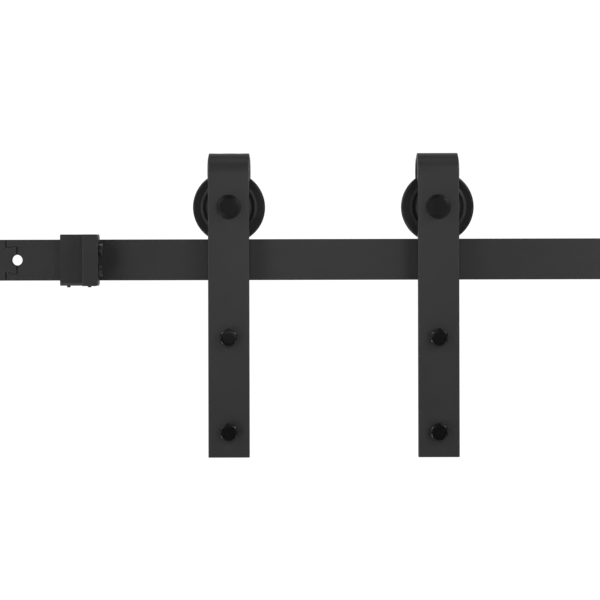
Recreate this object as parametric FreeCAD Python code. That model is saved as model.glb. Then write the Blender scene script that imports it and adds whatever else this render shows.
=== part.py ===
import FreeCAD, Part
import os
from math import cos, radians, sin, tan

# Sliding barn door track: a flat rail in sections, strap hangers on flanged wheels, clamped stops.
# Lengths are in millimetres. +X runs along the rail, +Y points to the wall and +Z is up.
# The origin is the centre of the hole at the rail's joint, on the rail's wall-side face.

# Rail
RAIL_HEIGHT = 40.0
RAIL_THICKNESS = 6.0
RAIL_SECTION = 914.4
RAIL_EDGE_ROUND = 0.3
WALL_HOLE_PITCH = 406.4
WALL_HOLE_RADIUS = 5.25
WALL_HOLE_CHAMFER = 0.5

# Dovetail that keys the two rail sections together
TONGUE_LENGTH = 10.8
TONGUE_ROOT_HEIGHT = 22.8
TONGUE_TIP_HEIGHT = 27.8
OUTER_CORNER = 0.8
INNER_CORNER = 1.3
END_GAP = 0.75
FLANK_GAP = 0.1

# Wheel
WHEEL_RADIUS = 35.0
WHEEL_WIDTH = 20.0
TREAD_RADIUS = 31.0
TREAD_GAP = 0.1
GROOVE_FLOOR_WIDTH = 7.2
GROOVE_MOUTH_WIDTH = 8.6
RIM_ROUND = 2.0
GROOVE_ROUND = 0.5
RECESS_RADIUS = 21.4
RECESS_DEPTH = 1.0
RECESS_ROUND = 1.0
BEAD_PEAK_RADIUS = 24.4
BEAD_OUTER_RADIUS = 27.6
BEAD_HEIGHT = 1.1
BEAD_ROUND = 2.2
HUB_RADIUS = 19.0
HUB_STEP = 1.0
BEARING_SHOULDER = 1.5

# Deep-groove ball bearing, 10 x 30 x 9
BEARING_BORE_RADIUS = 5.0
BEARING_OUTER_RADIUS = 15.0
BEARING_WIDTH = 9.0
BALL_COUNT = 8
BALL_RADIUS = 2.38
BALL_CIRCLE_RADIUS = 10.0
RACEWAY_CLEARANCE = 0.07
INNER_LAND_RADIUS = 8.3
OUTER_LAND_RADIUS = 11.7
CAGE_THICKNESS = 1.4
CAGE_WIDTH = 6.0
POCKET_CLEARANCE = 0.1
SHIELD_THICKNESS = 0.4
SHIELD_SEAT_RADIUS = 12.2
SHIELD_INSET = 0.3
SHIELD_GAP = 0.3
RING_ROUND = 0.4

# Strap hanger
STRAP_WIDTH = 40.0
STRAP_THICKNESS = 6.0
STRAP_EDGE_ROUND = 0.8
STRAP_SIDE_GAP = 4.0
AXLE_TO_STRAP_TOP = 52.7
AXLE_TO_BACK_END = 25.0
AXLE_TO_DOOR_SEAT = 86.0
AXLE_TO_UPPER_BOLT = 126.5
DOOR_BOLT_SPACING = 91.5
LOWER_BOLT_TO_END = 24.5
BEND_BULGE = 0.8
BEND_WAIST = 0.4
BEND_RUN_IN = 16.0
BEND_STEPS_IN = 4
BEND_STEPS_ROUND = 12
DOOR_THICKNESS = 40.0

# Fasteners
AXLE_RADIUS = 5.0
AXLE_FLATS = 17.0
AXLE_HEAD = 8.0
AXLE_FLANGE_RADIUS = 11.9
AXLE_FLANGE_RIM = 1.3
AXLE_FLANGE_RISE = 1.1
AXLE_FLANGE_ROUND = 0.4
AXLE_NUT = 8.0
AXLE_WASHER_RADIUS = 10.0
AXLE_WASHER = 1.6
AXLE_TAIL = 1.4
SPACER_RADIUS = 7.4
DOOR_BOLT_RADIUS = 5.0
DOOR_BOLT_GRIP_RADIUS = 4.8
DOOR_BOLT_FLATS = 16.0
DOOR_BOLT_HEAD = 6.4
DOOR_NUT = 8.4
DOOR_WASHER_RADIUS = 10.0
DOOR_WASHER = 2.0
DOOR_BOLT_TAIL = 2.5
HOLE_CLEARANCE = 0.3
BORE_CLEARANCE = 0.05
HEAD_CHAMFER_ANGLE = 30.0
FACE_SHARE = 0.94
TIP_BEVEL_SHARE = 0.2
WASHER_EDGE_ROUND = 0.3
HEX_SIDES = 6

# Stop that clamps on the rail
STOP_LEFT_END = 42.6
STOP_RIGHT_END = 81.3
STOP_HEIGHT = 50.0
STOP_PLATE = 5.7
STOP_SLIP = 0.3
STOP_LIP = 7.0
STOP_LIP_THICKNESS = 4.7
STOP_BEND_ROUND = 3.0
STOP_EDGE_ROUND = 0.6
BLOCK_LENGTH = 15.1
BLOCK_OVERHANG = 2.0
BLOCK_DEPTH = 18.0
BLOCK_CORNER = 2.5
BLOCK_EDGE_ROUND = 0.8
BUFFER_BOLT_RADIUS = 3.0
BUFFER_BOLT_FLATS = 10.0
BUFFER_BOLT_HEAD = 4.0
BUFFER_HOLE_DEPTH = 12.0
BUFFER_BOLT_SHANK = 11.0
BUFFER_BOLT_SPACING = 20.4
BUFFER_BOLT_TURNS = (10.0, 35.0)
SET_SCREW_RADIUS = 2.0
SET_SCREW_TAIL = 1.7
SET_SCREW_SOCKET = 2.0
SET_SCREW_SOCKET_DEPTH = 1.6
SET_SCREW_BEVEL = 0.35
SET_SCREW_FIRST = 7.5
SET_SCREW_SPACING = 20.3
FAR_STOP_FACE = 850.0

# Where the hangers stand along the rail, and how their bolt heads are turned
HANGERS = {
    "left": {"x": 207.0, "axle_turn": 0.0, "bolt_turns": (30.0, 22.0)},
    "right": {"x": 410.2, "axle_turn": 0.0, "bolt_turns": (35.0, 27.0)},
}

# Planes and heights that follow from the sizes above
RAIL_FRONT = -RAIL_THICKNESS
RAIL_MIDDLE = -RAIL_THICKNESS / 2
RAIL_TOP = RAIL_HEIGHT / 2
AXLE_HEIGHT = RAIL_TOP + TREAD_RADIUS + TREAD_GAP
LEG_OFFSET = WHEEL_WIDTH / 2 + STRAP_SIDE_GAP
FRONT_LEG_BACK = RAIL_MIDDLE - LEG_OFFSET
FRONT_LEG_FACE = FRONT_LEG_BACK - STRAP_THICKNESS
BACK_LEG_FRONT = RAIL_MIDDLE + LEG_OFFSET
BACK_LEG_FACE = BACK_LEG_FRONT + STRAP_THICKNESS
BEND_RADIUS = LEG_OFFSET + STRAP_THICKNESS / 2
BEND_HEIGHT = AXLE_HEIGHT + AXLE_TO_STRAP_TOP - LEG_OFFSET - STRAP_THICKNESS
DOOR_BACK = FRONT_LEG_BACK + DOOR_THICKNESS
STOP_FACE = RAIL_FRONT - STOP_SLIP - STOP_PLATE
BLOCK_FACE = STOP_FACE - BLOCK_DEPTH
BLOCK_MIDDLE = STOP_FACE - BLOCK_DEPTH / 2

TOWARDS_WALL = FreeCAD.Vector(0, 1, 0)
TINY = 1e-6


def vec(x, y, z):
    return FreeCAD.Vector(x, y, z)


def box(x_low, x_high, y_low, y_high, z_low, z_high):
    return Part.makeBox(x_high - x_low, y_high - y_low, z_high - z_low, vec(x_low, y_low, z_low))


def placed(shape, point, direction, turn=0.0):
    """A shape built about +Z, turned on its axis and set at a point along a direction."""
    shape = shape.copy()
    aim = FreeCAD.Rotation(vec(0, 0, 1), direction)
    spin = FreeCAD.Rotation(vec(0, 0, 1), turn)
    shape.Placement = FreeCAD.Placement(point, aim * spin)
    return shape


def turned(outline, middle):
    """A body turned about an axis along Y: outline is (radius, offset from the middle plane)."""
    points = [vec(radius, offset, 0) for radius, offset in outline]
    face = Part.Face(Part.makePolygon(points + points[:1]))
    solid = face.revolve(vec(0, 0, 0), TOWARDS_WALL, 360)
    solid.translate(middle)
    return solid


def rounded(shape, radius, chosen):
    """The shape with every edge that chosen() accepts rounded to a radius."""
    return shape.makeFillet(radius, [edge for edge in shape.Edges if chosen(edge)])


def is_ring(edge, radius, offset, middle):
    """Whether an edge is a circle of this radius, this far along Y from the middle plane."""
    if not isinstance(edge.Curve, Part.Circle):
        return False
    same_radius = abs(edge.Curve.Radius - radius) < TINY
    return same_radius and abs(edge.Curve.Center.y - middle.y - offset) < TINY


def rounded_outline(corners):
    """A closed wire through (point, radius) corners, with an arc at each corner that has a radius."""
    stops = []
    for index, (point, radius) in enumerate(corners):
        back = (corners[index - 1][0] - point).normalize()
        ahead = (corners[(index + 1) % len(corners)][0] - point).normalize()
        half = back.getAngle(ahead) / 2
        reach = radius / tan(half)
        inward = (back + ahead).normalize()
        crown = point + inward * (radius / sin(half) - radius)
        stops.append((point + back * reach, crown, point + ahead * reach, radius))
    edges = []
    for index, (arrive, crown, leave, radius) in enumerate(stops):
        if radius > 0:
            edges.append(Part.Arc(arrive, crown, leave).toShape())
        following = stops[(index + 1) % len(stops)][0]
        if (following - leave).Length > TINY:
            edges.append(Part.LineSegment(leave, following).toShape())
    return Part.Wire(edges)


# ---------------------------------------------------------------- rail


def dovetail_corners(root, tip, clearance, root_round, tip_round):
    """The dovetail's four corners from its upper root to its lower one, flanks moved outward."""
    slope = (TONGUE_TIP_HEIGHT - TONGUE_ROOT_HEIGHT) / 2 / TONGUE_LENGTH
    tongue_tip = -END_GAP / 2
    tip_half = TONGUE_TIP_HEIGHT / 2 + slope * (tip - tongue_tip) + clearance
    root_half = TONGUE_TIP_HEIGHT / 2 + slope * (root - tongue_tip) + clearance
    return [
        (vec(root, 0, root_half), root_round),
        (vec(tip, 0, tip_half), tip_round),
        (vec(tip, 0, -tip_half), tip_round),
        (vec(root, 0, -root_half), root_round),
    ]


def rail_section(corners, hole_places):
    """A flat bar on edge, from its outline in the XZ plane, with its wall holes."""
    bar = Part.Face(rounded_outline(corners)).extrude(vec(0, RAIL_FRONT, 0))
    bar = rounded(bar, RAIL_EDGE_ROUND, lambda edge: edge.BoundBox.YLength < TINY)
    mouth_radius = WALL_HOLE_RADIUS + WALL_HOLE_CHAMFER
    for place in hole_places:
        start = vec(place, RAIL_FRONT, 0)
        bore = Part.makeCylinder(WALL_HOLE_RADIUS, RAIL_THICKNESS, start, TOWARDS_WALL)
        mouth = Part.makeCone(mouth_radius, WALL_HOLE_RADIUS, WALL_HOLE_CHAMFER, start, TOWARDS_WALL)
        bar = bar.cut(bore).cut(mouth)
    return bar


def rail_left():
    """The section that ends in the tongue."""
    far = -RAIL_SECTION
    shoulder = -TONGUE_LENGTH - END_GAP / 2
    corners = [(vec(far, 0, RAIL_TOP), 0), (vec(shoulder, 0, RAIL_TOP), 0)]
    corners += dovetail_corners(shoulder, -END_GAP / 2, 0.0, INNER_CORNER, OUTER_CORNER)
    corners += [(vec(shoulder, 0, -RAIL_TOP), 0), (vec(far, 0, -RAIL_TOP), 0)]
    return rail_section(corners, (0, -WALL_HOLE_PITCH, -2 * WALL_HOLE_PITCH))


def rail_right():
    """The section with the socket that takes the tongue."""
    far = RAIL_SECTION
    shoulder = -TONGUE_LENGTH + END_GAP / 2
    corners = [(vec(far, 0, RAIL_TOP), 0), (vec(shoulder, 0, RAIL_TOP), 0)]
    corners += dovetail_corners(shoulder, END_GAP / 2, FLANK_GAP, OUTER_CORNER, INNER_CORNER)
    corners += [(vec(shoulder, 0, -RAIL_TOP), 0), (vec(far, 0, -RAIL_TOP), 0)]
    return rail_section(corners, (0, WALL_HOLE_PITCH, 2 * WALL_HOLE_PITCH))


# ---------------------------------------------------------------- fasteners, built about +Z


def hexagon(flats, height):
    """A hexagonal prism from the XY plane up."""
    corner_radius = flats / 2 / cos(radians(180 / HEX_SIDES))
    points = []
    for index in range(HEX_SIDES + 1):
        angle = radians(index * 360 / HEX_SIDES)
        points.append(vec(corner_radius * cos(angle), corner_radius * sin(angle), 0))
    return Part.Face(Part.makePolygon(points)).extrude(vec(0, 0, height))


def chamfer_cone(flats, height):
    """The turned envelope that bevels a hexagon's corners at its top face."""
    reach = flats
    face_radius = flats / 2 * FACE_SHARE
    drop = (reach - face_radius) * tan(radians(HEAD_CHAMFER_ANGLE))
    lower = Part.makeCylinder(reach, height - drop)
    upper = Part.makeCone(reach, face_radius, drop, vec(0, 0, height - drop))
    return lower.fuse(upper)


def axle_flange():
    """The round flange under the axle bolt's head, sloping up to the hexagon."""
    rim = Part.makeCylinder(AXLE_FLANGE_RADIUS, AXLE_FLANGE_RIM)
    slope = Part.makeCone(AXLE_FLANGE_RADIUS, AXLE_FLATS / 2, AXLE_FLANGE_RISE, vec(0, 0, AXLE_FLANGE_RIM))
    widest = 2 * AXLE_FLANGE_RADIUS - TINY
    return rounded(rim.fuse(slope), AXLE_FLANGE_ROUND, lambda edge: edge.BoundBox.XLength > widest)


def hex_bolt(flats, head_height, shank, flange=None):
    """A bolt whose head stands below the XY plane; shank is a list of (radius, length)."""
    head = hexagon(flats, head_height).common(chamfer_cone(flats, head_height))
    if flange is not None:
        head = head.fuse(flange)
    head.rotate(vec(0, 0, 0), vec(1, 0, 0), 180)
    bolt = head
    tip = 0.0
    for radius, length in shank:
        bolt = bolt.fuse(Part.makeCylinder(radius, length, vec(0, 0, tip)))
        tip += length
    bolt = bolt.removeSplitter()
    tip_edges = [edge for edge in bolt.Edges if edge.BoundBox.ZMin > tip - TINY]
    return bolt.makeChamfer(shank[-1][0] * TIP_BEVEL_SHARE, tip_edges)


def hex_nut(flats, height, bore_radius):
    """A nut on the XY plane, bevelled on both faces."""
    body = hexagon(flats, height).common(chamfer_cone(flats, height))
    under = chamfer_cone(flats, height)
    under.rotate(vec(0, 0, height / 2), vec(1, 0, 0), 180)
    body = body.common(under)
    return body.cut(Part.makeCylinder(bore_radius, height))


def washer(outer_radius, bore_radius, thickness):
    """A flat washer on the XY plane, its rim a little rounded."""
    disc = Part.makeCylinder(outer_radius, thickness)
    disc = rounded(disc, WASHER_EDGE_ROUND, lambda edge: edge.BoundBox.ZLength < TINY)
    return disc.cut(Part.makeCylinder(bore_radius, thickness))


def set_screw(radius, length):
    """A headless screw from the XY plane up, with a hexagonal socket in its lower end."""
    screw = Part.makeCylinder(radius, length)
    ends = [edge for edge in screw.Edges if edge.BoundBox.ZLength < TINY]
    screw = screw.makeChamfer(SET_SCREW_BEVEL, ends)
    return screw.cut(hexagon(SET_SCREW_SOCKET, SET_SCREW_SOCKET_DEPTH))


# ---------------------------------------------------------------- wheel and bearing


def wheel_face_outline():
    """(radius, offset, rounding) corners of one face, from the rail groove in to the hub."""
    half = WHEEL_WIDTH / 2
    recess = half - RECESS_DEPTH
    hub = recess + HUB_STEP
    return [
        (TREAD_RADIUS, GROOVE_FLOOR_WIDTH / 2, 0),
        (WHEEL_RADIUS, GROOVE_MOUTH_WIDTH / 2, GROOVE_ROUND),
        (WHEEL_RADIUS, half, RIM_ROUND),
        (BEAD_OUTER_RADIUS, half, BEAD_ROUND),
        (BEAD_PEAK_RADIUS, half + BEAD_HEIGHT, BEAD_ROUND),
        (RECESS_RADIUS, recess, RECESS_ROUND),
        (HUB_RADIUS, recess, 0),
        (HUB_RADIUS, hub, GROOVE_ROUND),
    ]


def wheel(middle):
    """A grooved wheel with a bead round each face and a seat for the bearing."""
    face = wheel_face_outline()
    hub = face[-1][1]
    seat = BEARING_WIDTH / 2
    lip = BEARING_OUTER_RADIUS - BEARING_SHOULDER
    bore = [(lip, hub, 0), (lip, seat, 0), (BEARING_OUTER_RADIUS, seat, 0), (BEARING_OUTER_RADIUS, -hub, 0)]
    front = [(radius, -offset, edge_round) for radius, offset, edge_round in reversed(face)]
    outline = [(vec(radius, offset, 0), edge_round) for radius, offset, edge_round in face + bore + front]
    body = Part.Face(rounded_outline(outline)).revolve(vec(0, 0, 0), TOWARDS_WALL, 360)
    body.translate(middle)
    return body


def raceway(middle):
    """The ring-shaped space that the balls run in."""
    return Part.makeTorus(BALL_CIRCLE_RADIUS, BALL_RADIUS + RACEWAY_CLEARANCE, middle, TOWARDS_WALL)


def bearing_outer_ring(middle):
    half = BEARING_WIDTH / 2
    step = half - SHIELD_INSET - SHIELD_THICKNESS
    outline = [
        (OUTER_LAND_RADIUS, -step),
        (SHIELD_SEAT_RADIUS, -step),
        (SHIELD_SEAT_RADIUS, -half),
        (BEARING_OUTER_RADIUS, -half),
        (BEARING_OUTER_RADIUS, half),
        (SHIELD_SEAT_RADIUS, half),
        (SHIELD_SEAT_RADIUS, step),
        (OUTER_LAND_RADIUS, step),
    ]
    ring = turned(outline, middle)
    for side in (-1, 1):
        edge_at = (BEARING_OUTER_RADIUS, side * half, middle)
        ring = rounded(ring, RING_ROUND, lambda edge: is_ring(edge, *edge_at))
    return ring.cut(raceway(middle))


def bearing_inner_ring(middle):
    half = BEARING_WIDTH / 2
    bore = BEARING_BORE_RADIUS + BORE_CLEARANCE
    outline = [
        (bore, -half),
        (INNER_LAND_RADIUS, -half),
        (INNER_LAND_RADIUS, half),
        (bore, half),
    ]
    ring = turned(outline, middle)
    for side in (-1, 1):
        edge_at = (INNER_LAND_RADIUS, side * half, middle)
        ring = rounded(ring, RING_ROUND, lambda edge: is_ring(edge, *edge_at))
    return ring.cut(raceway(middle))


def ball_direction(index):
    angle = radians(index * 360 / BALL_COUNT)
    return vec(cos(angle), 0, sin(angle))


def bearing_balls(middle):
    balls = [
        Part.makeSphere(BALL_RADIUS, middle + ball_direction(index) * BALL_CIRCLE_RADIUS)
        for index in range(BALL_COUNT)
    ]
    return Part.makeCompound(balls)


def bearing_cage(middle):
    inner = BALL_CIRCLE_RADIUS - CAGE_THICKNESS / 2
    outer = BALL_CIRCLE_RADIUS + CAGE_THICKNESS / 2
    half = CAGE_WIDTH / 2
    cage = turned([(inner, -half), (outer, -half), (outer, half), (inner, half)], middle)
    for index in range(BALL_COUNT):
        direction = ball_direction(index)
        pocket = Part.makeCylinder(
            BALL_RADIUS + POCKET_CLEARANCE, BALL_CIRCLE_RADIUS + CAGE_THICKNESS, middle, direction
        )
        cage = cage.cut(pocket)
    return cage


def bearing_shields(middle):
    """The two thin discs that close the bearing, held in the outer ring."""
    near = BEARING_WIDTH / 2 - SHIELD_INSET - SHIELD_THICKNESS
    far = near + SHIELD_THICKNESS
    inner = INNER_LAND_RADIUS + SHIELD_GAP
    shields = []
    for side in (-1, 1):
        outline = [
            (inner, side * near),
            (SHIELD_SEAT_RADIUS, side * near),
            (SHIELD_SEAT_RADIUS, side * far),
            (inner, side * far),
        ]
        shields.append(turned(outline, middle))
    return Part.makeCompound(shields)


# ---------------------------------------------------------------- hanger


def strap_section(x, along, up, outward, side_outer, side_inner):
    """The strap's rounded cross-section where its mid-line is at (along, up), facing outward."""
    half = STRAP_THICKNESS / 2
    middle = vec(x, along, up)
    outer = middle + outward * half
    inner = middle - outward * half
    corners = [
        (outer - vec(side_outer, 0, 0), STRAP_EDGE_ROUND),
        (outer + vec(side_outer, 0, 0), STRAP_EDGE_ROUND),
        (inner + vec(side_inner, 0, 0), STRAP_EDGE_ROUND),
        (inner - vec(side_inner, 0, 0), STRAP_EDGE_ROUND),
    ]
    return rounded_outline(corners)


def leg_stations(side):
    """Stations up a leg into the bend, as (outward, along, up, swell); side is -1 front, 1 back."""
    stations = []
    for step in range(BEND_STEPS_IN):
        share = step / BEND_STEPS_IN
        swell = share * share * (3 - 2 * share)
        up = BEND_HEIGHT - BEND_RUN_IN * (1 - share)
        stations.append((vec(0, side, 0), RAIL_MIDDLE + side * BEND_RADIUS, up, swell))
    return stations


def round_stations():
    """Stations round the bend, from the front leg over to the back one."""
    stations = []
    for step in range(BEND_STEPS_ROUND + 1):
        angle = radians(180 - step * 180 / BEND_STEPS_ROUND)
        along = RAIL_MIDDLE + BEND_RADIUS * cos(angle)
        up = BEND_HEIGHT + BEND_RADIUS * sin(angle)
        stations.append((vec(0, cos(angle), sin(angle)), along, up, 1.0))
    return stations


def strap_bend(x):
    """The bend over the wheel. Bending draws the outer face in and swells the inner one."""
    half_width = STRAP_WIDTH / 2
    wires = []
    for outward, along, up, swell in leg_stations(-1) + round_stations() + leg_stations(1)[::-1]:
        side_outer = half_width - BEND_WAIST * swell
        side_inner = half_width + BEND_BULGE * swell
        wires.append(strap_section(x, along, up, outward, side_outer, side_inner))
    return Part.makeLoft(wires, True, False)


def strap_leg(x, y_low, bottom):
    """A straight leg with its end and long edges eased."""
    half_width = STRAP_WIDTH / 2
    top = BEND_HEIGHT - BEND_RUN_IN
    leg = box(x - half_width, x + half_width, y_low, y_low + STRAP_THICKNESS, bottom, top)
    return rounded(leg, STRAP_EDGE_ROUND, lambda edge: edge.BoundBox.ZMin < top - TINY)


def hole_along_y(x, radius, z, y_low, y_high):
    return Part.makeCylinder(radius, y_high - y_low, vec(x, y_low, z), TOWARDS_WALL)


def door_bolt_heights():
    upper = AXLE_HEIGHT - AXLE_TO_UPPER_BOLT
    return (upper, upper - DOOR_BOLT_SPACING)


def hanger_strap(x):
    """The flat bar bent over the wheel, with holes for the axle and the door bolts."""
    heights = door_bolt_heights()
    bottom = heights[-1] - LOWER_BOLT_TO_END
    front = strap_leg(x, FRONT_LEG_FACE, bottom)
    back = strap_leg(x, BACK_LEG_FRONT, AXLE_HEIGHT - AXLE_TO_BACK_END)
    # The door bears on the long leg's back below this height, so its seat is a face of its own.
    seat_top = AXLE_HEIGHT - AXLE_TO_DOOR_SEAT
    below = box(x - STRAP_WIDTH, x + STRAP_WIDTH, FRONT_LEG_FACE, FRONT_LEG_BACK, bottom, seat_top)
    strap = strap_bend(x).fuse([front.common(below), front.cut(below), back])
    axle_hole = hole_along_y(x, AXLE_RADIUS + HOLE_CLEARANCE, AXLE_HEIGHT, FRONT_LEG_FACE, BACK_LEG_FACE)
    strap = strap.cut(axle_hole)
    for height in heights:
        radius = DOOR_BOLT_RADIUS + HOLE_CLEARANCE
        strap = strap.cut(hole_along_y(x, radius, height, FRONT_LEG_FACE, FRONT_LEG_BACK))
    return strap


def axle_bolt(x, turn):
    """The bolt that carries the wheel between the strap's legs."""
    grip = BACK_LEG_FACE - FRONT_LEG_FACE
    length = grip + AXLE_WASHER + AXLE_NUT + AXLE_TAIL
    bolt = hex_bolt(AXLE_FLATS, AXLE_HEAD, [(AXLE_RADIUS, length)], axle_flange())
    return placed(bolt, vec(x, FRONT_LEG_FACE, AXLE_HEIGHT), TOWARDS_WALL, turn)


def axle_spacer(x, y_low, y_high):
    """A bush that holds the bearing clear of a leg."""
    outer = hole_along_y(x, SPACER_RADIUS, AXLE_HEIGHT, y_low, y_high)
    return outer.cut(hole_along_y(x, AXLE_RADIUS + BORE_CLEARANCE, AXLE_HEIGHT, y_low, y_high))


def door_fasteners(x, turns):
    """The bolts, washers and nuts that hold the door, set for a door of standard thickness."""
    bolts, washers, nuts = [], [], []
    tail = DOOR_WASHER + DOOR_NUT + DOOR_BOLT_TAIL
    for height, turn in zip(door_bolt_heights(), turns):
        shank = [
            (DOOR_BOLT_RADIUS, STRAP_THICKNESS),
            (DOOR_BOLT_GRIP_RADIUS, DOOR_THICKNESS),
            (DOOR_BOLT_RADIUS, tail),
        ]
        bolt = hex_bolt(DOOR_BOLT_FLATS, DOOR_BOLT_HEAD, shank)
        bolts.append(placed(bolt, vec(x, FRONT_LEG_FACE, height), TOWARDS_WALL, turn))
        ring = washer(DOOR_WASHER_RADIUS, DOOR_BOLT_RADIUS + HOLE_CLEARANCE, DOOR_WASHER)
        washers.append(placed(ring, vec(x, DOOR_BACK, height), TOWARDS_WALL))
        nut = hex_nut(DOOR_BOLT_FLATS, DOOR_NUT, DOOR_BOLT_RADIUS + BORE_CLEARANCE)
        nuts.append(placed(nut, vec(x, DOOR_BACK + DOOR_WASHER, height), TOWARDS_WALL, turn))
    return bolts, washers, nuts


def hanger(side, x, axle_turn, bolt_turns):
    """Every piece of one hanger, by node name."""
    middle = vec(x, RAIL_MIDDLE, AXLE_HEIGHT)
    bearing_front = RAIL_MIDDLE - BEARING_WIDTH / 2
    bearing_back = RAIL_MIDDLE + BEARING_WIDTH / 2
    nut_place = vec(x, BACK_LEG_FACE + AXLE_WASHER, AXLE_HEIGHT)
    axle_washer = washer(AXLE_WASHER_RADIUS, AXLE_RADIUS + HOLE_CLEARANCE, AXLE_WASHER)
    axle_nut = hex_nut(AXLE_FLATS, AXLE_NUT, AXLE_RADIUS + BORE_CLEARANCE)
    bolts, washers, nuts = door_fasteners(x, bolt_turns)
    pieces = {
        "hanger_strap": hanger_strap(x),
        "wheel": wheel(middle),
        "bearing_outer_ring": bearing_outer_ring(middle),
        "bearing_inner_ring": bearing_inner_ring(middle),
        "bearing_balls": bearing_balls(middle),
        "bearing_cage": bearing_cage(middle),
        "bearing_shields": bearing_shields(middle),
        "axle_bolt": axle_bolt(x, axle_turn),
        "axle_spacer_front": axle_spacer(x, FRONT_LEG_BACK, bearing_front),
        "axle_spacer_rear": axle_spacer(x, bearing_back, BACK_LEG_FRONT),
        "axle_washer": placed(axle_washer, vec(x, BACK_LEG_FACE, AXLE_HEIGHT), TOWARDS_WALL),
        "axle_nut": placed(axle_nut, nut_place, TOWARDS_WALL, axle_turn),
        "door_bolts": Part.makeCompound(bolts),
        "door_washers": Part.makeCompound(washers),
        "door_nuts": Part.makeCompound(nuts),
    }
    return {f"{name}_{side}": piece for name, piece in pieces.items()}


# ---------------------------------------------------------------- stop


def stop_clamp():
    """The folded plate that hooks round the rail, open at the back."""
    half = STOP_HEIGHT / 2
    inner_half = RAIL_TOP + STOP_SLIP
    lip_end = inner_half - STOP_LIP
    back = STOP_SLIP + STOP_LIP_THICKNESS
    corners = [
        (vec(STOP_LEFT_END, STOP_FACE, half), STOP_BEND_ROUND),
        (vec(STOP_LEFT_END, back, half), STOP_BEND_ROUND),
        (vec(STOP_LEFT_END, back, lip_end), STOP_EDGE_ROUND),
        (vec(STOP_LEFT_END, STOP_SLIP, lip_end), STOP_EDGE_ROUND),
        (vec(STOP_LEFT_END, STOP_SLIP, inner_half), 0),
        (vec(STOP_LEFT_END, RAIL_FRONT - STOP_SLIP, inner_half), 0),
    ]
    lower = [(vec(point.x, point.y, -point.z), radius) for point, radius in reversed(corners)]
    length = STOP_RIGHT_END - BLOCK_OVERHANG - STOP_LEFT_END
    clamp = Part.Face(rounded_outline(corners + lower)).extrude(vec(length, 0, 0))
    for place in set_screw_places():
        start = vec(place, RAIL_MIDDLE, -half)
        clamp = clamp.cut(Part.makeCylinder(SET_SCREW_RADIUS + BORE_CLEARANCE, half - RAIL_TOP, start))
    return clamp


def stop_block():
    """The buffer block that the hanger meets, standing out from the clamp."""
    half = STOP_HEIGHT / 2
    left = STOP_RIGHT_END - BLOCK_LENGTH
    corners = [
        (vec(left, STOP_FACE, half), 0),
        (vec(STOP_RIGHT_END, STOP_FACE, half), BLOCK_CORNER),
        (vec(STOP_RIGHT_END, STOP_FACE, -half), BLOCK_CORNER),
        (vec(left, STOP_FACE, -half), 0),
    ]
    block = Part.Face(rounded_outline(corners)).extrude(vec(0, -BLOCK_DEPTH, 0))
    block = rounded(block, BLOCK_EDGE_ROUND, lambda edge: edge.BoundBox.YMax < BLOCK_FACE + TINY)
    for height in buffer_bolt_heights():
        start = vec(STOP_RIGHT_END - BUFFER_HOLE_DEPTH, BLOCK_MIDDLE, height)
        radius = BUFFER_BOLT_RADIUS + BORE_CLEARANCE
        block = block.cut(Part.makeCylinder(radius, BUFFER_HOLE_DEPTH, start, vec(1, 0, 0)))
    return block


def buffer_bolt_heights():
    return (BUFFER_BOLT_SPACING / 2, -BUFFER_BOLT_SPACING / 2)


def set_screw_places():
    first = STOP_LEFT_END + SET_SCREW_FIRST
    return (first, first + SET_SCREW_SPACING)


def stop_bolts():
    """The two hexagon bolts in the block's end face, which the strap's edge meets."""
    bolts = []
    shank = [(BUFFER_BOLT_RADIUS, BUFFER_BOLT_SHANK)]
    for height, turn in zip(buffer_bolt_heights(), BUFFER_BOLT_TURNS):
        bolt = hex_bolt(BUFFER_BOLT_FLATS, BUFFER_BOLT_HEAD, shank)
        bolts.append(placed(bolt, vec(STOP_RIGHT_END, BLOCK_MIDDLE, height), vec(-1, 0, 0), turn))
    return Part.makeCompound(bolts)


def stop_set_screws():
    """The headless screws that grip the rail's lower edge."""
    bottom = -STOP_HEIGHT / 2 - SET_SCREW_TAIL
    length = -RAIL_TOP - STOP_SLIP - bottom
    screws = []
    for place in set_screw_places():
        screw = set_screw(SET_SCREW_RADIUS, length)
        screw.translate(vec(place, RAIL_MIDDLE, bottom))
        screws.append(screw)
    return Part.makeCompound(screws)


def stops():
    """The stop beside the joint, and its mirror image near the rail's right end."""
    pieces = {
        "stop_clamp": stop_clamp(),
        "stop_block": stop_block(),
        "stop_bolts": stop_bolts(),
        "stop_set_screws": stop_set_screws(),
    }
    mirror_plane = vec((STOP_RIGHT_END + FAR_STOP_FACE) / 2, 0, 0)
    nodes = {}
    for name, piece in pieces.items():
        nodes[f"{name}_left"] = piece
        nodes[f"{name}_right"] = piece.mirror(mirror_plane, vec(1, 0, 0))
    return nodes


def build():
    nodes = {"rail_left": rail_left(), "rail_right": rail_right()}
    for side, hanger_facts in HANGERS.items():
        nodes.update(hanger(side, **hanger_facts))
    nodes.update(stops())
    return nodes


os.makedirs("parts", exist_ok=True)
for node, shape in build().items():
    solids = shape.Solids
    state = "valid" if shape.isValid() else "NOT VALID"
    print(f"{node}: {len(solids)} solids, {shape.Volume:.1f} mm3, {state}")
    shape.exportStep(f"parts/{node}.step")
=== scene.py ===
from math import atan, ceil, cos, pi, radians, sin, tan

import bmesh
import bpy
from mathutils import Matrix, Quaternion, Vector


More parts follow.
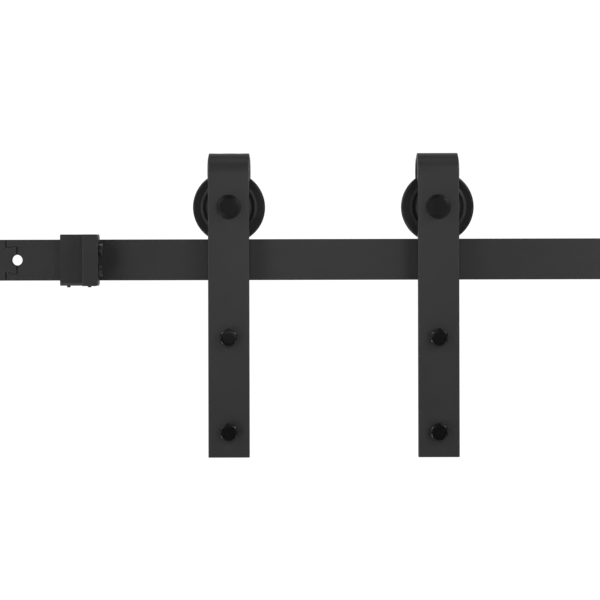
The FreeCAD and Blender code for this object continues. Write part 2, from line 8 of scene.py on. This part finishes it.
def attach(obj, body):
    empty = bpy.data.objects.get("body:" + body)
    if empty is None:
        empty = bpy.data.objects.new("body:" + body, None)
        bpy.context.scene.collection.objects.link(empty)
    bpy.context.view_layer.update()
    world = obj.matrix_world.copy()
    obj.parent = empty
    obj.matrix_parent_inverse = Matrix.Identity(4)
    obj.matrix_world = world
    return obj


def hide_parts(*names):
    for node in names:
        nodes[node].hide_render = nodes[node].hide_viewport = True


# The looks of a flat-bar sliding door track: coated bars, wheels, threaded fasteners, studio light.
# Lengths are in metres unless a name ends in _MM. +X runs along the rail, +Y points to the wall.

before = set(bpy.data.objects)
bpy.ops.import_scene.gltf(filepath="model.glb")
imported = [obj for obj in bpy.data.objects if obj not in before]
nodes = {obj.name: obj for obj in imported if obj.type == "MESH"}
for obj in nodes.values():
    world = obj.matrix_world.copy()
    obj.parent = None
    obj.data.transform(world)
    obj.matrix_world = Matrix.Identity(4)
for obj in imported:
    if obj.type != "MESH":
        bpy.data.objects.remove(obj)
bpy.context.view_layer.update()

SIDES = ("left", "right")

# ---------------------------------------------------------------- camera

VIEW_X = 0.2761
VIEW_Z = -0.0395
EYE_Z = 0.0193
RAIL_FACE = -0.006
CAMERA_DISTANCE = 1.9
FRAME_WIDTH = 0.5854
CAMERA_ROLL = radians(0.14)
SENSOR = 36.0
CLIP = (0.05, 100)


def make_camera():
    """Straight on to the rail, with the eye above the picture's middle."""
    data = bpy.data.cameras.new("camera")
    data.sensor_width = SENSOR
    data.lens = SENSOR * CAMERA_DISTANCE / FRAME_WIDTH
    data.shift_y = (VIEW_Z - EYE_Z) / FRAME_WIDTH
    data.clip_start, data.clip_end = CLIP
    camera = bpy.data.objects.new("camera", data)
    camera.location = (VIEW_X, RAIL_FACE - CAMERA_DISTANCE, EYE_Z)
    camera.rotation_euler = (radians(90), CAMERA_ROLL, 0)
    bpy.context.scene.collection.objects.link(camera)
    bpy.context.scene.camera = camera


# ---------------------------------------------------------------- studio

WHITE = (1, 1, 1, 1)
FLOOR_HEIGHT = -0.75
FLOOR_RADIUS = 2.1
FLOOR_FADE = 0.9
FLOOR_SEGMENTS = 96
FLOOR_SHADE = 0.03
FLOOR_GLOW = 0.76
FLOOR_BOUNCE = 0.9
BACKDROP_STRENGTH = 1.06
# The dome's strength rises from front to back between these shares of the way towards the wall.
DOME_FRONT = 0.02
DOME_BACK = 0.55
DOME_RISE = (0.1, 0.7)

# name, place, size, power
SOFTBOXES = [
    ("right_high", (1.401, -0.65, 0.75), 0.5, 5.8),
    ("right_upper", (1.111, -0.995, 0.75), 0.5, 6.0),
    ("right_side", (1.24, -1.149, 0.0), 0.5, 4.0),
    ("right_low", (1.027, -0.586, -0.55), 0.35, 1.5),
    ("left_high", (-0.849, -0.65, 0.75), 0.5, 6.8),
    ("left_upper", (-0.559, -0.995, 0.75), 0.5, 3.2),
    ("left_side", (-0.839, -1.004, 0.0), 0.5, 4.0),
    ("left_low", (-0.454, -0.612, -0.55), 0.35, 4.2),
    ("top", (0.276, -0.208, 1.182), 0.6, 1.2),
    ("front", (0.2761, -0.8, 0.06), 0.3, 0.45),
]


def set_inputs(tree, node, inputs):
    """Link each of a node's inputs that is given a socket, and set the others to their values."""
    for name, value in inputs.items():
        if isinstance(value, bpy.types.NodeSocket):
            tree.links.new(value, node.inputs[name])
        else:
            node.inputs[name].default_value = value


def add_node(tree, kind, inputs=None, **settings):
    """A new node of one kind, with its settings and its inputs."""
    node = tree.nodes.new(kind)
    for name, value in settings.items():
        setattr(node, name, value)
    set_inputs(tree, node, inputs or {})
    return node


def add_range(tree, value, start, end, at_start, at_end, **settings):
    """A value that goes from at_start to at_end as another one goes from start to end."""
    inputs = {"Value": value, "From Min": start, "From Max": end, "To Min": at_start, "To Max": at_end}
    return add_node(tree, "ShaderNodeMapRange", inputs, **settings).outputs["Result"]


def split_by_ray(tree, seen, bounced):
    """One shader for what the camera sees and another for the light that it throws."""
    path = add_node(tree, "ShaderNodeLightPath")
    inputs = {0: path.outputs["Is Camera Ray"], 1: bounced, 2: seen}
    return add_node(tree, "ShaderNodeMixShader", inputs).outputs["Shader"]


def make_world():
    """White to the camera, and a dim dome, brighter towards the wall, to everything that it lights."""
    world = bpy.data.worlds.new("studio")
    world.use_nodes = True
    tree = world.node_tree
    place = add_node(tree, "ShaderNodeTexCoord").outputs["Generated"]
    direction = add_node(tree, "ShaderNodeSeparateXYZ", {0: place})
    strength = add_range(tree, direction.outputs["Y"], *DOME_RISE, DOME_FRONT, DOME_BACK,
                         interpolation_type="SMOOTHSTEP")
    dome = tree.nodes["Background"]
    set_inputs(tree, dome, {"Color": WHITE, "Strength": strength})
    backdrop = add_node(tree, "ShaderNodeBackground", {"Color": WHITE, "Strength": BACKDROP_STRENGTH})
    surface = split_by_ray(tree, backdrop.outputs["Background"], dome.outputs["Background"])
    set_inputs(tree, tree.nodes["World Output"], {"Surface": surface})
    bpy.context.scene.world = world
    bpy.context.scene.view_settings.view_transform = "Standard"


def softbox(name, place, size, power):
    """A square area light that points at the middle of the view."""
    data = bpy.data.lights.new(name, "AREA")
    data.shape = "RECTANGLE"
    data.size = size
    data.size_y = size
    data.energy = power
    light = bpy.data.objects.new(name, data)
    light.location = place
    light.rotation_mode = "QUATERNION"
    light.rotation_quaternion = (Vector((VIEW_X, 0, 0)) - Vector(place)).to_track_quat("-Z", "Y")
    light.visible_camera = False
    bpy.context.scene.collection.objects.link(light)


def floor_material():
    """Evenly bright to the camera, plain pale to other rays, and clear at the rim."""
    material = bpy.data.materials.new("pale_floor")
    material.use_nodes = True
    tree = material.node_tree
    seen = tree.nodes["Principled BSDF"]
    set_inputs(tree, seen, {
        "Base Color": (FLOOR_SHADE, FLOOR_SHADE, FLOOR_SHADE, 1),
        "Roughness": 1.0,
        "Specular IOR Level": 0.0,
        "Emission Color": WHITE,
        "Emission Strength": FLOOR_GLOW,
    })
    bounce_colour = (FLOOR_BOUNCE, FLOOR_BOUNCE, FLOOR_BOUNCE, 1)
    bounced = add_node(tree, "ShaderNodeBsdfDiffuse", {"Color": bounce_colour})
    both = split_by_ray(tree, seen.outputs["BSDF"], bounced.outputs["BSDF"])
    place = add_node(tree, "ShaderNodeTexCoord").outputs["Object"]
    distance = add_node(tree, "ShaderNodeVectorMath", {0: place}, operation="LENGTH")
    fade = add_range(tree, distance.outputs["Value"], FLOOR_RADIUS - FLOOR_FADE, FLOOR_RADIUS, 0.0, 1.0,
                     interpolation_type="SMOOTHSTEP")
    clear = add_node(tree, "ShaderNodeBsdfTransparent")
    faded = add_node(tree, "ShaderNodeMixShader", {0: fade, 1: both, 2: clear.outputs["BSDF"]})
    set_inputs(tree, tree.nodes["Material Output"], {"Surface": faded.outputs["Shader"]})
    return material


def make_floor():
    """A pale round floor whose rim fades into the white surround."""
    mesh = bpy.data.meshes.new("floor")
    disc = bmesh.new()
    bmesh.ops.create_circle(disc, cap_ends=True, radius=FLOOR_RADIUS, segments=FLOOR_SEGMENTS)
    disc.to_mesh(mesh)
    disc.free()
    floor = bpy.data.objects.new("floor", mesh)
    floor.location = (VIEW_X, 0, FLOOR_HEIGHT)
    bpy.context.scene.collection.objects.link(floor)
    mesh.materials.append(floor_material())


# ---------------------------------------------------------------- materials

# Painted light: the wheel's base colour is made paler within RECESS_RADIUS of its axis, standing in for
# light that reaches the hub's recess.
RECESS_RADIUS = 0.0232
RECESS_EDGE = 0.0008
RECESS_PAINTED_LIGHT = 10.0
LINE_SPACING = 0.0005
BUMP_STRENGTH = 0.4
# The part of a noise's range in which most of its values lie.
NOISE_RANGE = (0.3, 0.7)


class Coat:
    """One material, and short ways to add shader nodes to it."""

    def __init__(self, name, gloss, metallic=0.0):
        self.material = bpy.data.materials.new(name)
        self.material.use_nodes = True
        self.tree = self.material.node_tree
        self.shader = self.tree.nodes["Principled BSDF"]
        self.put(**{"Metallic": metallic, "Specular IOR Level": gloss})
        self.place = self.add("ShaderNodeTexCoord").outputs["Object"]

    def put(self, **inputs):
        """Link or set inputs of the material's own shader."""
        set_inputs(self.tree, self.shader, inputs)

    def add(self, kind, inputs=None, **settings):
        return add_node(self.tree, kind, inputs, **settings)

    def vector(self, operation, *inputs):
        """The vector that comes from a sum done on one or two vectors."""
        node = self.add("ShaderNodeVectorMath", dict(enumerate(inputs)), operation=operation)
        return node.outputs["Vector"]

    def number(self, operation, *inputs):
        """The number that comes from a sum done on two numbers."""
        node = self.add("ShaderNodeMath", dict(enumerate(inputs)), operation=operation)
        return node.outputs["Value"]

    def noise(self, scale, detail):
        inputs = {"Scale": scale, "Detail": detail, "Vector": self.place}
        return self.add("ShaderNodeTexNoise", inputs).outputs["Fac"]

    def turning_lines(self, centre):
        """Fine rings about an axis along Y, as a lathe leaves them."""
        inputs = {
            "Scale": pi / 10 / LINE_SPACING,
            "Distortion": 1.5,
            "Detail": 2.0,
            "Vector": self.vector("SUBTRACT", self.place, centre),
        }
        rings = self.add("ShaderNodeTexWave", inputs, wave_type="RINGS", rings_direction="Y")
        return rings.outputs["Fac"]

    def recess_painted_light(self, centre):
        """How many times paler the base colour is, as painted light in the hub's recess: the recess's
        factor within RECESS_RADIUS of an axis along Y, and 1 further out.
        """
        across = self.vector("MULTIPLY", self.vector("SUBTRACT", self.place, centre), (1, 0, 1))
        distance = self.add("ShaderNodeVectorMath", {0: across}, operation="LENGTH").outputs["Value"]
        edge = (RECESS_RADIUS - RECESS_EDGE, RECESS_RADIUS + RECESS_EDGE)
        return add_range(self.tree, distance, *edge, RECESS_PAINTED_LIGHT, 1.0)

    def outside_box(self, centre, half_size):
        """1 outside a box and 0 inside it."""
        scaled = self.vector("DIVIDE", self.vector("SUBTRACT", self.place, centre), half_size)
        parts = self.add("ShaderNodeSeparateXYZ", {0: self.vector("ABSOLUTE", scaled)}).outputs
        largest = self.number("MAXIMUM", self.number("MAXIMUM", parts["X"], parts["Y"]), parts["Z"])
        return self.number("GREATER_THAN", largest, 1.0)

    def vary_roughness(self, noise, low, high):
        self.put(Roughness=add_range(self.tree, noise, *NOISE_RANGE, low, high))

    def shade(self, noise, colour, spread, painted_light=None):
        """Base colour that wanders a little either side of one colour, times a factor of painted light if
        there is one.
        """
        ramp = self.add("ShaderNodeValToRGB", {"Fac": noise})
        shares = (1 - spread, 1 + spread)
        for element, position, share in zip(ramp.color_ramp.elements, NOISE_RANGE, shares):
            element.position = position
            element.color = (*[channel * share for channel in colour], 1)
        shade = ramp.outputs["Color"]
        if painted_light is not None:
            inputs = {0: shade, "Scale": painted_light}
            shade = self.add("ShaderNodeVectorMath", inputs, operation="SCALE").outputs["Vector"]
        self.put(**{"Base Color": shade})

    def bump(self, height, distance, under=None):
        """Relief over the surface, or over the relief that is given as under."""
        inputs = {"Strength": BUMP_STRENGTH, "Distance": distance, "Height": height}
        if under is not None:
            inputs["Normal"] = under
        normal = self.add("ShaderNodeBump", inputs).outputs["Normal"]
        self.put(Normal=normal)
        return normal


def powder_coat(name, colour, roughness=0.42, gloss=0.5, dull_box=None):
    """A satin powder coat: fine grain over a faint orange peel. Inside dull_box it has no gloss."""
    coat = Coat(name, gloss)
    if dull_box is not None:
        coat.put(**{"Specular IOR Level": coat.number("MULTIPLY", coat.outside_box(*dull_box), gloss)})
    coat.shade(coat.noise(scale=40.0, detail=4.0), colour, spread=0.08)
    grain = coat.noise(scale=1600.0, detail=3.0)
    coat.vary_roughness(grain, roughness - 0.06, roughness + 0.06)
    peel = coat.bump(coat.noise(scale=420.0, detail=1.0), distance=4e-5)
    coat.bump(grain, distance=2.5e-5, under=peel)
    return coat.material


def turned_coat(name, colour, roughness, gloss, centre):
    """Thin gloss paint that lets the lathe's turning lines show through, with painted light that makes
    the hub's recess paler.
    """
    coat = Coat(name, gloss)
    coat.shade(coat.noise(scale=60.0, detail=4.0), colour, spread=0.12, painted_light=coat.recess_painted_light(centre))
    grain = coat.noise(scale=1300.0, detail=3.0)
    coat.vary_roughness(grain, roughness - 0.05, roughness + 0.07)
    lines = coat.bump(coat.turning_lines(centre), distance=8e-6)
    coat.bump(grain, distance=1e-5, under=lines)
    return coat.material


def metal(name, colour, roughness, metallic, gloss):
    """Plated or bare steel, with faint stains in shade and roughness."""
    coat = Coat(name, gloss, metallic)
    coat.shade(coat.noise(scale=180.0, detail=4.0), colour, spread=0.1)
    grain = coat.noise(scale=1500.0, detail=3.0)
    coat.vary_roughness(grain, roughness - 0.05, roughness + 0.06)
    coat.bump(grain, distance=6e-6)
    return coat.material


# ---------------------------------------------------------------- threaded fasteners, in millimetres

# Six sides of a hexagon with eight points each; round rings have as many points.
SEGMENTS = 48
# A head's face is this share of its width, and its chamfer falls at 30 degrees from there.
FACE_SHARE = 0.94
CHAMFER_SLOPE = tan(radians(30))
INNER_RING_SHARE = 0.6
CORNER_MM = 0.35
EASE_MM = 0.14
# The eased edge of a head's face, in shares of EASE_MM: its drop at the edge and its run beyond it.
EDGE_DROP = 0.15
EDGE_RUN = 0.8
# The rounded rim of a flange, as shares of the quarter turn down from its slope, and its foot.
RIM_SHARES = (0, 0.35, 0.7, 1)
FOOT_SHARE = 0.3
COUNTERSINK_MM = 0.5
SOCKET_CORNER_MM = 0.1
SOCKET_EDGE_MM = 0.05
SOCKET_POINT_MM = 0.3
# How deep an external thread is cut, its profile along one pitch as (place, depth share), the bevel
# at its tip beyond its depth, and the spare turns at each end that are squeezed flat onto the ends.
THREAD_DEPTH_SHARE = 0.6134
THREAD_PROFILE = ((0.0, 1.0), (0.3125, 0.0), (0.4375, 0.0), (0.75, 1.0))
TIP_BEVEL_MM = 0.1
SPARE_TURNS = 2
TO_METRES = 0.001
MERGE_DISTANCE = 2e-7
SHARP_ANGLE = radians(34)


class Turned:
    """A mesh built up from rings of points about the Z axis."""

    def __init__(self):
        self.points = []
        self.faces = []

    def loft(self, rings):
        """Faces between each ring and the next."""
        start = len(self.points)
        for ring in rings:
            self.points += ring
        for row in range(len(rings) - 1):
            for step in range(SEGMENTS):
                after = (step + 1) % SEGMENTS
                low, high = start + row * SEGMENTS, start + (row + 1) * SEGMENTS
                self.faces.append((low + step, low + after, high + after, high + step))

    def thread(self, radius, pitch, start_z, end_z, start_radius):
        """A helical thread that runs out at the start and is bevelled at the end."""
        depth = THREAD_DEPTH_SHARE * pitch
        bevel = depth + TIP_BEVEL_MM
        per_turn = len(THREAD_PROFILE)
        rows = (ceil((end_z - start_z) / pitch) + 2 * SPARE_TURNS) * per_turn
        first = len(self.points)
        for step in range(SEGMENTS):
            angle = 2 * pi * step / SEGMENTS
            for row in range(rows):
                along, cut = THREAD_PROFILE[row % per_turn]
                z = start_z + pitch * (row // per_turn - SPARE_TURNS + along + step / SEGMENTS)
                z = min(max(z, start_z), end_z)
                run_out = min(1.0, (z - start_z) / pitch)
                size = start_radius + (radius - depth * cut - start_radius) * run_out
                size = min(size, radius - bevel + end_z - z)
                self.points.append((size * cos(angle), size * sin(angle), z))
        for step in range(SEGMENTS):
            after, climb = (step + 1, 0) if step + 1 < SEGMENTS else (0, per_turn)
            for row in range(rows - per_turn - 1):
                near = first + step * rows + row
                far = first + after * rows + row + climb
                self.faces.append((near, far, far + 1, near + 1))
        return circle(radius - bevel, end_z)

    def placed(self, places):
        """One mesh with a copy of these rings at each of the (point, direction, turn) places."""
        built = bmesh.new()
        for point, direction, turn in places:
            aim = Vector((0, 0, 1)).rotation_difference(Vector(direction))
            spin = Quaternion((0, 0, 1), radians(turn))
            matrix = Matrix.Translation(point) @ (aim @ spin).to_matrix().to_4x4()
            corners = [built.verts.new(matrix @ Vector(p)) for p in self.points]
            for face in self.faces:
                built.faces.new([corners[index] for index in face])
        bmesh.ops.scale(built, vec=(TO_METRES,) * 3, verts=built.verts)
        bmesh.ops.remove_doubles(built, verts=built.verts, dist=MERGE_DISTANCE)
        bmesh.ops.recalc_face_normals(built, faces=built.faces)
        return built


def circle(radius, z):
    ring = []
    for step in range(SEGMENTS):
        angle = 2 * pi * step / SEGMENTS
        ring.append((radius * cos(angle), radius * sin(angle), z))
    return ring


def hexagon(flats, z_at, inset=0.0, corner=CORNER_MM):
    """A ring round a hexagon with rounded corners. z_at gives the height at a distance from the axis."""
    ring = []
    reach = (flats / 2 - corner) / cos(pi / 6)

    def rounded(towards, lean):
        """A point of the rounded corner in one direction, at a lean from its middle."""
        x = reach * cos(towards) + corner * cos(towards + lean)
        return x, reach * sin(towards) + corner * sin(towards + lean)

    for side in range(6):
        here, following = side * pi / 3, (side + 1) * pi / 3
        arc = [rounded(here, lean) for lean in (0, pi / 12, pi / 6)]
        next_arc = [rounded(following, -lean) for lean in (pi / 6, pi / 12)]
        flat = []
        for share in (0.25, 0.5, 0.75):
            flat.append(tuple(a + (b - a) * share for a, b in zip(arc[2], next_arc[0])))
        for x, y in arc + flat + next_arc:
            distance = (x * x + y * y) ** 0.5
            kept = (distance - inset) / distance
            ring.append((x * kept, y * kept, z_at(distance - inset)))
    return ring


def head_rings(flats, height, upward=False):
    """Rings from the centre of a head's face out over its chamfer and down to its seat."""
    face = flats / 2 * FACE_SHARE
    sign = 1 if upward else -1

    def on_cone(distance):
        return sign * (height - (distance - face) * CHAMFER_SLOPE)

    def below_edge(distance):
        return on_cone(distance) - sign * EASE_MM

    return [
        circle(face * INNER_RING_SHARE, sign * height),
        circle(face - EASE_MM, sign * height),
        circle(face, sign * (height - EASE_MM * EDGE_DROP)),
        circle(face + EASE_MM * EDGE_RUN, sign * (height - EASE_MM * EDGE_RUN * CHAMFER_SLOPE)),
        hexagon(flats, on_cone, EASE_MM),
        hexagon(flats, below_edge),
        hexagon(flats, lambda distance: sign * EASE_MM),
        hexagon(flats, lambda distance: 0.0, EASE_MM),
    ]


def flange_rings(flats, radius, rim, rise, rounding):
    """Rings from the foot of a head's hexagon, out over a sloping round flange and down to its seat."""
    slope = rise / (radius - flats / 2)
    lean = atan(slope)
    centre = rim + rounding * slope - rounding / cos(lean)
    rings = [hexagon(flats, lambda distance: -rim - (radius - distance) * slope)]
    for share in RIM_SHARES:
        angle = lean + (pi / 2 - lean) * share
        rings.append(circle(radius - rounding * (1 - sin(angle)), -centre - rounding * cos(angle)))
    foot = rounding * FOOT_SHARE
    rings += [circle(radius, -rounding), circle(radius - foot, -foot)]
    return rings + [circle(radius - rounding, 0)]


def bolt(flats, height, plain, thread_radius, pitch, start_z, end_z, flange=None):
    """A hexagon bolt whose head stands below the XY plane. plain lists (radius, z) down to the thread."""
    body = Turned()
    head = head_rings(flats, height)
    if flange is not None:
        head = head[:-2] + flange_rings(flats, **flange)
    rings = [circle(0, -height)] + head
    rings += [circle(radius, z) for radius, z in plain] + [circle(plain[-1][0], start_z)]
    body.loft(rings)
    tip = body.thread(thread_radius, pitch, start_z, end_z, plain[-1][0])
    body.loft([tip, circle(0, end_z)])
    return body


def nut(flats, height, bore):
    """A nut from the XY plane up, chamfered on both faces and countersunk at both ends."""
    sink = bore + COUNTERSINK_MM
    top = head_rings(flats, height, upward=True)[1:6]
    bottom = [[(x, y, height - z) for x, y, z in ring] for ring in reversed(top)]
    outside = [circle(sink, height)] + top + bottom + [circle(sink, 0.0)]
    inside = [circle(bore, COUNTERSINK_MM), circle(bore, height - COUNTERSINK_MM), circle(sink, height)]
    body = Turned()
    body.loft(outside + inside)
    return body


def set_screw(radius, pitch, length, flats, socket_depth):
    """A headless screw from the XY plane up, with a hexagonal socket in its lower end."""
    body = Turned()
    rim = radius - THREAD_DEPTH_SHARE * pitch - SOCKET_EDGE_MM
    socket = [
        circle(0.0, socket_depth + SOCKET_POINT_MM),
        hexagon(flats, lambda distance: socket_depth, corner=SOCKET_CORNER_MM),
        hexagon(flats, lambda distance: SOCKET_EDGE_MM, corner=SOCKET_CORNER_MM),
        circle(rim, 0.0),
    ]
    body.loft(socket)
    tip = body.thread(radius, pitch, 0.0, length, rim)
    body.loft([tip, circle(0, length)])
    return body


# Sizes and places of the fasteners, in millimetres and degrees. plain lists (radius, z).
AXLE_BOLT = {
    "flats": 17.0, "height": 8.0, "plain": [(5.0, 0.0)],
    "thread_radius": 5.0, "pitch": 1.5, "start_z": 31.0, "end_z": 51.0,
    "flange": {"radius": 11.9, "rim": 1.3, "rise": 1.1, "rounding": 0.4},
}
AXLE_NUT = {"flats": 17.0, "height": 8.0, "bore": 5.05}
AXLE_WASHER_MM = 1.6
DOOR_BOLT = {
    "flats": 16.0, "height": 6.4, "plain": [(5.0, 0.0), (5.0, 5.8), (4.8, 6.0)],
    "thread_radius": 5.0, "pitch": 1.5, "start_z": 34.0, "end_z": 58.9,
}
DOOR_NUT = {"flats": 16.0, "height": 8.4, "bore": 5.05}
DOOR_WASHER_MM = 2.0
STOP_BOLT = {
    "flats": 10.0, "height": 4.0, "plain": [(3.0, 0.0)],
    "thread_radius": 3.0, "pitch": 1.0, "start_z": 0.5, "end_z": 11.0,
}
SET_SCREW = {"radius": 2.0, "pitch": 0.7, "length": 6.4, "flats": 2.0, "socket_depth": 1.6}

TOWARDS_WALL = (0, 1, 0)
UP = (0, 0, 1)
RAIL_MIDDLE_MM = -3.0
STRAP_FACE_MM = -23.0
STRAP_BACK_MM = 17.0
DOOR_BACK_MM = 23.0
AXLE_Z_MM = 51.1
DOOR_BOLT_Z_MM = (-75.4, -166.9)
HANGERS = {
    "left": {"x": 207.0, "bolt_turns": (30.0, 22.0)},
    "right": {"x": 410.2, "bolt_turns": (35.0, 27.0)},
}
STOP_BOLT_Z_MM = (10.2, -10.2)
STOP_BOLT_Y_MM = -21.0
STOP_BOLT_TURNS = (10.0, 35.0)
STOPS = {
    "left": {"end": 81.3, "inward": -1, "screws": (50.1, 70.4)},
    "right": {"end": 850.0, "inward": 1, "screws": (881.2, 860.9)},
}
SCREW_BOTTOM_MM = -26.7


def show(stands_for, finish, body, material, built):
    """A finished mesh on a CAD body, in place of the CAD node that it stands for."""
    name = f"{stands_for}_{finish}"
    mesh = bpy.data.meshes.new(name)
    built.to_mesh(mesh)
    built.free()
    mesh.polygons.foreach_set("use_smooth", [True] * len(mesh.polygons))
    mesh.set_sharp_from_angle(angle=SHARP_ANGLE)
    mesh.materials.append(material)
    piece = bpy.data.objects.new(name, mesh)
    bpy.context.scene.collection.objects.link(piece)
    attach(piece, body)
    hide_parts(stands_for)


def hanger_fasteners(side, x, bolt_turns):
    """The axle bolt and its nut, and the two door bolts and theirs."""
    body = f"hanger_{side}"
    head = [((x, STRAP_FACE_MM, AXLE_Z_MM), TOWARDS_WALL, 0.0)]
    show(f"axle_bolt_{side}", "threaded", body, axle_black, bolt(**AXLE_BOLT).placed(head))
    back = [((x, STRAP_BACK_MM + AXLE_WASHER_MM, AXLE_Z_MM), TOWARDS_WALL, 0.0)]
    show(f"axle_nut_{side}", "eased", body, axle_black, nut(**AXLE_NUT).placed(back))
    heads, backs = [], []
    for z, turn in zip(DOOR_BOLT_Z_MM, bolt_turns):
        heads.append(((x, STRAP_FACE_MM, z), TOWARDS_WALL, turn))
        backs.append(((x, DOOR_BACK_MM + DOOR_WASHER_MM, z), TOWARDS_WALL, turn))
    show(f"door_bolts_{side}", "threaded", body, bolt_black, bolt(**DOOR_BOLT).placed(heads))
    show(f"door_nuts_{side}", "eased", body, bolt_black, nut(**DOOR_NUT).placed(backs))


def stop_fasteners(side, end, inward, screws):
    """The two bolts in the block's end face and the two set screws under the clamp."""
    body = f"stop_{side}"
    heads = []
    for z, turn in zip(STOP_BOLT_Z_MM, STOP_BOLT_TURNS):
        heads.append(((end, STOP_BOLT_Y_MM, z), (inward, 0, 0), -inward * turn))
    show(f"stop_bolts_{side}", "threaded", body, stop_bolt_black, bolt(**STOP_BOLT).placed(heads))
    tips = [((x, RAIL_MIDDLE_MM, SCREW_BOTTOM_MM), UP, 0.0) for x in screws]
    show(f"stop_set_screws_{side}", "threaded", body, bolt_black, set_screw(**SET_SCREW).placed(tips))


# ---------------------------------------------------------------- the scene


def dress(node, material):
    """Give a CAD node one material."""
    mesh = nodes[node].data
    mesh.materials.clear()
    mesh.materials.append(material)


make_camera()
make_world()
for box_facts in SOFTBOXES:
    softbox(*box_facts)
make_floor()

# The middle and the half size of a box round the joint's inner faces, short of the rail's outer ones.
# The faces in it have no gloss, so that the joint reads as a dark line.
JOINT_BOX = ((0, -0.003, 0), (0.03, 0.00298, 0.0197))
RAIL_COLOUR = (0.009, 0.009, 0.0095)
STRAP_COLOUR = (0.011, 0.011, 0.0115)
rail_coat = powder_coat("rail_coat", RAIL_COLOUR, dull_box=JOINT_BOX)
strap_coat = powder_coat("strap_coat", STRAP_COLOUR)
stop_coat = powder_coat("stop_coat", RAIL_COLOUR)
bolt_black = metal("bolt_black", (0.004, 0.004, 0.004), roughness=0.19, metallic=0.0, gloss=0.22)
stop_bolt_black = metal("stop_bolt_black", (0.008, 0.008, 0.008), roughness=0.26, metallic=0.0, gloss=0.4)
axle_black = metal("axle_black", (0.005, 0.005, 0.005), roughness=0.42, metallic=0.0, gloss=0.13)
bearing_steel = metal("bearing_steel", (0.55, 0.55, 0.56), roughness=0.22, metallic=1.0, gloss=0.5)
pressed_steel = metal("pressed_steel", (0.35, 0.35, 0.36), roughness=0.32, metallic=1.0, gloss=0.5)
WHEEL_COAT = {"colour": (0.005, 0.005, 0.005), "roughness": 0.36, "gloss": 0.2}

NODE_COATS = {
    "hanger_strap": strap_coat,
    "bearing_outer_ring": bearing_steel,
    "bearing_inner_ring": bearing_steel,
    "bearing_balls": bearing_steel,
    "bearing_cage": pressed_steel,
    "bearing_shields": pressed_steel,
    "axle_spacer_front": axle_black,
    "axle_spacer_rear": axle_black,
    "axle_washer": axle_black,
    "door_washers": bolt_black,
    "stop_clamp": stop_coat,
    "stop_block": stop_coat,
}
for side in SIDES:
    dress(f"rail_{side}", rail_coat)
    for name, material in NODE_COATS.items():
        dress(f"{name}_{side}", material)
    centre = (HANGERS[side]["x"] * TO_METRES, 0, AXLE_Z_MM * TO_METRES)
    dress(f"wheel_{side}", turned_coat(f"wheel_coat_{side}", centre=centre, **WHEEL_COAT))
    hanger_fasteners(side, **HANGERS[side])
    stop_fasteners(side, **STOPS[side])
